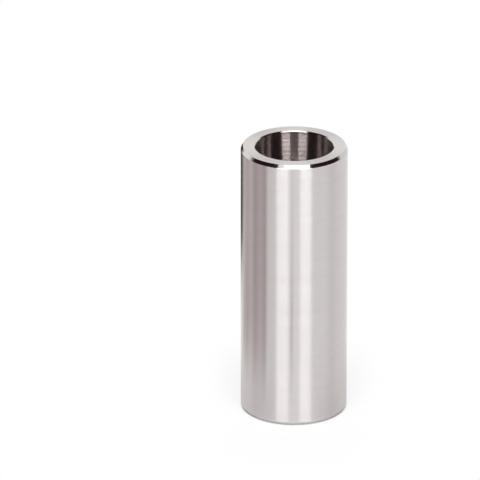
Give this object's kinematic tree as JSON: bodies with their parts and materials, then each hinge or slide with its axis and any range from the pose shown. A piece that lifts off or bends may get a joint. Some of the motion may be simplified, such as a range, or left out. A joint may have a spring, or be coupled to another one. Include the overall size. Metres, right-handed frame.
{
  "type": "piston pin",
  "caption": "Hollow round piston pin of ground steel, with a straight through bore and chamfered ends, which hinges a piston on the small end of its connecting rod.",
  "frame": {"origin": "centre of the lower end face, on the pin's axis", "axes": "+Z along the pin's axis from the lower end face to the upper one; X and Y are any two directions across it, because the pin is round"},
  "size_m": [0.022, 0.022, 0.058],
  "materials": {
    "ground_steel": "bright steel: finely ground outside, sharp turned chamfers, matt faced ends, bored inside"
  },
  "bodies": {
    "root": {"piston_pin": "ground_steel"}
  },
  "joints": []
}
